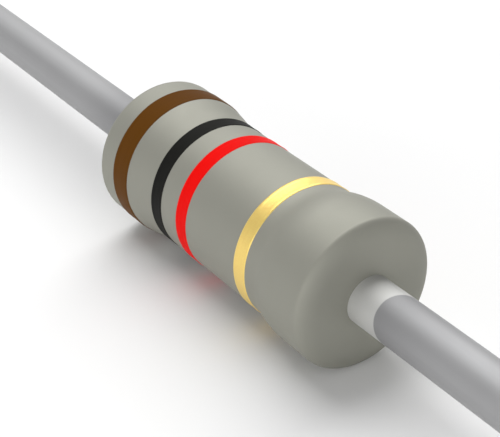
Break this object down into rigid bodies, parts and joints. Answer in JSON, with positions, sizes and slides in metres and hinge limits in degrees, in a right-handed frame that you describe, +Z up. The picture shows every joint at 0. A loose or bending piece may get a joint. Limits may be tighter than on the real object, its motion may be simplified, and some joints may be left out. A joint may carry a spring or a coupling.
{
  "type": "axial resistor",
  "caption": "Axial-lead film resistor: a waisted, lacquer-coated ceramic body with painted colour bands and a straight wire lead at each end.",
  "frame": {"origin": "on the wire's axis, at the middle of the coated body", "axes": "+X along the leads, towards the end with the gold tolerance band; +Z up; the part is round about X"},
  "size_m": [0.0378, 0.0026, 0.0026],
  "materials": {
    "ceramic": "unglazed, fine-grained",
    "film": "dark satin film with a spiral cut",
    "cap_steel": "tin-plated pressed sheet",
    "lead_wire": "satin tinned copper wire",
    "coat": "satin grey lacquer",
    "paint_brown": "satin paint",
    "paint_black": "satin paint",
    "paint_red": "satin paint",
    "paint_gold": "metallic gold paint"
  },
  "bodies": {
    "root": {"ceramic_core": "ceramic", "resistive_film": "film", "end_cap_front": "cap_steel", "end_cap_back": "cap_steel", "lead_front": "lead_wire", "lead_back": "lead_wire", "coating": "coat", "band_brown": "paint_brown", "band_black": "paint_black", "band_red": "paint_red", "band_gold": "paint_gold"}
  },
  "joints": []
}
